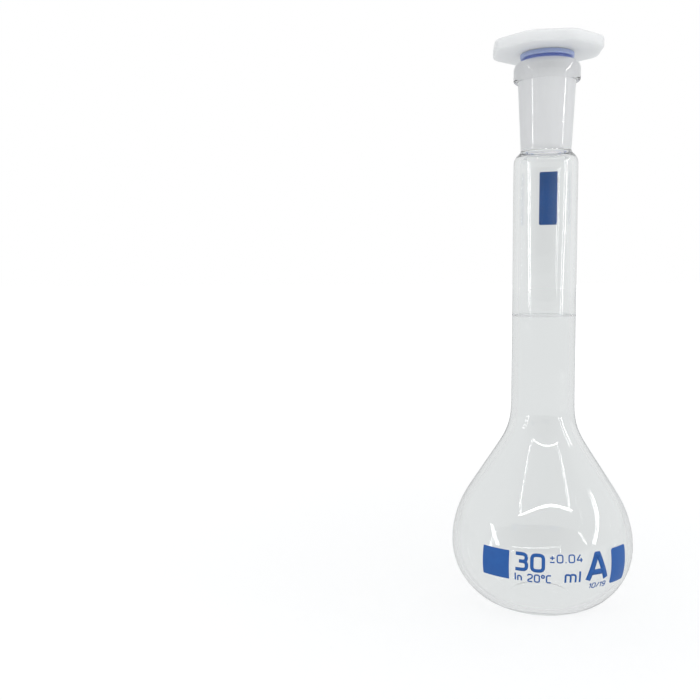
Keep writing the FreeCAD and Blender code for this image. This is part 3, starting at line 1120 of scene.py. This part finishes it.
def tinted(tree, level):
    parts = {axis: level * share for axis, share in zip("XYZ", BACKDROP_TINT)}
    return Wire.node(tree, "ShaderNodeCombineXYZ", None, parts)


# %% floor
FLOOR_REACH = 6.0
FLOOR_GAP = 0.0002
FLOOR_TINT = (0.86, 0.865, 0.87, 1.0)
FLOOR_ROUGHNESS = 0.9
FLOOR_SHADE_REACH = 0.5
FLOOR_NEAR_WHITE = 0.42
FLOOR_WHITE = 1.2
FLOOR_EVENNESS = 0.95


def make_floor_finish():
    material, tree, shader, place = new_material("pale_floor")
    feed(shader, Base_Color=FLOOR_TINT, Roughness=FLOOR_ROUGHNESS, Specular_IOR_Level=0.0)
    rays = Wire.node(tree, "ShaderNodeLightPath", None, None, None)
    x, y = place.part("X"), place.part("Y")
    distance = (x * x + y * y).root()
    fade = (distance / FLOOR_SHADE_REACH).at_most(1.0)
    whiteness = FLOOR_NEAR_WHITE + fade * (1 - FLOOR_NEAR_WHITE)
    white = Wire.node(tree, "ShaderNodeEmission", None, {"Strength": FLOOR_WHITE})
    seen = Wire(rays.outputs["Is Camera Ray"]) * whiteness
    plain = mixed_looks(tree, seen, Wire(shader.outputs[0]), white)
    tone = tinted(tree, backdrop_level(x / (distance + FLOOR_SHADE_REACH)))
    even = Wire.node(tree, "ShaderNodeEmission", None, {"Color": tone})
    through = Wire(rays.outputs["Is Transmission Ray"]) * FLOOR_EVENNESS
    show(mixed_looks(tree, through, plain, even))
    return material


def make_floor():
    mesh = bpy.data.meshes.new("floor")
    signs = ((-1, -1), (1, -1), (1, 1), (-1, 1))
    corners = [(x * FLOOR_REACH, y * FLOOR_REACH, -FLOOR_GAP) for x, y in signs]
    mesh.from_pydata(corners, [], [(0, 1, 2, 3)])
    mesh.materials.append(make_floor_finish())
    floor = new_object("floor", mesh)
    print(f"floor: {2 * FLOOR_REACH:.0f} m wide")


make_floor()

# %% sky
FRONT_DIMMING = 0.65
SKY_EASING = 0.045


def make_sky():
    world = bpy.data.worlds.new("pale_sky")
    world.use_nodes = True
    bpy.context.scene.world = world
    tree = world.node_tree
    ground = next(node for node in tree.nodes if node.type == "BACKGROUND")
    way = Wire.node(tree, "ShaderNodeTexCoord", None, None, "Generated")
    rays = Wire.node(tree, "ShaderNodeLightPath", None, None, None)
    diffuse = Wire(rays.outputs["Is Diffuse Ray"])
    mirrored = Wire(rays.outputs["Glossy Depth"]).at_most(1.0) * (1 - diffuse)
    front = (way.part("Y") * -1.0).at_least(0.0)
    level = backdrop_level(way.part("X")) - front * mirrored * FRONT_DIMMING
    tone = tinted(tree, level - diffuse * SKY_EASING)
    seen = {"Factor": Wire(rays.outputs["Is Camera Ray"]), "A": tone, "B": WHITE}
    colour = Wire.node(tree, "ShaderNodeMix", {"data_type": "RGBA"}, seen, "Result")
    Wire.fill(ground, {"Color": colour})
    print("sky:", len(tree.nodes), "nodes")


make_sky()

# %% [markdown]
# Thin, long lamps draw the bright lines on the glass. One lies above the front, with an end piece at
# each side, and its reflection closes into a frame on the cone of the bulb. An upright one at each
# side draws the sparks on the bulb and the lines on the neck and the socket.

# %% lamps
LAMP_TARGET = (0, 0, 0.06)


def strip_lamp(name, start, end, width, radiance):
    """A thin rectangular lamp from start to end that faces the flask."""
    start, end = Vector(start), Vector(end)
    middle = (start + end) / 2
    along = (end - start).normalized()
    away = middle - Vector(LAMP_TARGET)
    away = (away - along * away.dot(along)).normalized()
    lamp = bpy.data.lights.new(name, "AREA")
    lamp.shape = "RECTANGLE"
    lamp.size = (end - start).length
    lamp.size_y = width
    lamp.energy = radiance * math.pi * lamp.size * lamp.size_y
    holder = new_object(name, lamp)
    rotation = Matrix((along, away.cross(along), away)).transposed()
    holder.matrix_world = Matrix.Translation(middle) @ rotation.to_4x4()
    holder.visible_camera = False
    print(f"{name}: {lamp.energy:.2f} W")


strip_lamp(
    "front_strip", start=(-0.33, -0.30, 0.360), end=(0.25, -0.30, 0.344),
    width=0.008, radiance=28.0,
)
strip_lamp(
    "front_left_end", start=(-0.315, -0.30, 0.385), end=(-0.450, -0.30, 0.68),
    width=0.007, radiance=24.0,
)
strip_lamp(
    "front_right_end", start=(0.228, -0.30, 0.365), end=(0.318, -0.30, 0.50),
    width=0.007, radiance=24.0,
)
strip_lamp(
    "right_strip", start=(0.437, -0.303, 0.05), end=(0.507, -0.044, 0.322),
    width=0.018, radiance=20.0,
)
strip_lamp(
    "left_strip", start=(-1.416, -0.615, 0.03), end=(-1.49, -0.16, 0.50),
    width=0.05, radiance=16.0,
)

# %% [markdown]
# The camera stands where the photograph was taken from: level with the middle of the neck, tipped
# down a little, with the flask right of the picture's middle.

# %% camera
CAMERA_PLACE = (-0.04323, -0.1930, 0.07383)
CAMERA_PITCH = math.radians(4.93)
CAMERA_ROLL = math.radians(-0.33)
FOCAL_PIXELS = 866.0
IMAGE_PIXELS = 700
SENSOR = 36.0
NEAR_CLIP = 0.005

lens = bpy.data.cameras.new("camera")
lens.sensor_width = SENSOR
lens.lens = FOCAL_PIXELS / IMAGE_PIXELS * SENSOR
lens.clip_start = NEAR_CLIP
camera = new_object("camera", lens)
tip = Matrix.Rotation(math.pi / 2 - CAMERA_PITCH, 4, "X")
roll = Matrix.Rotation(CAMERA_ROLL, 4, "Z")
camera.matrix_world = Matrix.Translation(CAMERA_PLACE) @ tip @ roll
bpy.context.scene.camera = camera
bpy.context.scene.view_settings.view_transform = "Standard"
print(f"lens {lens.lens:.1f} mm")
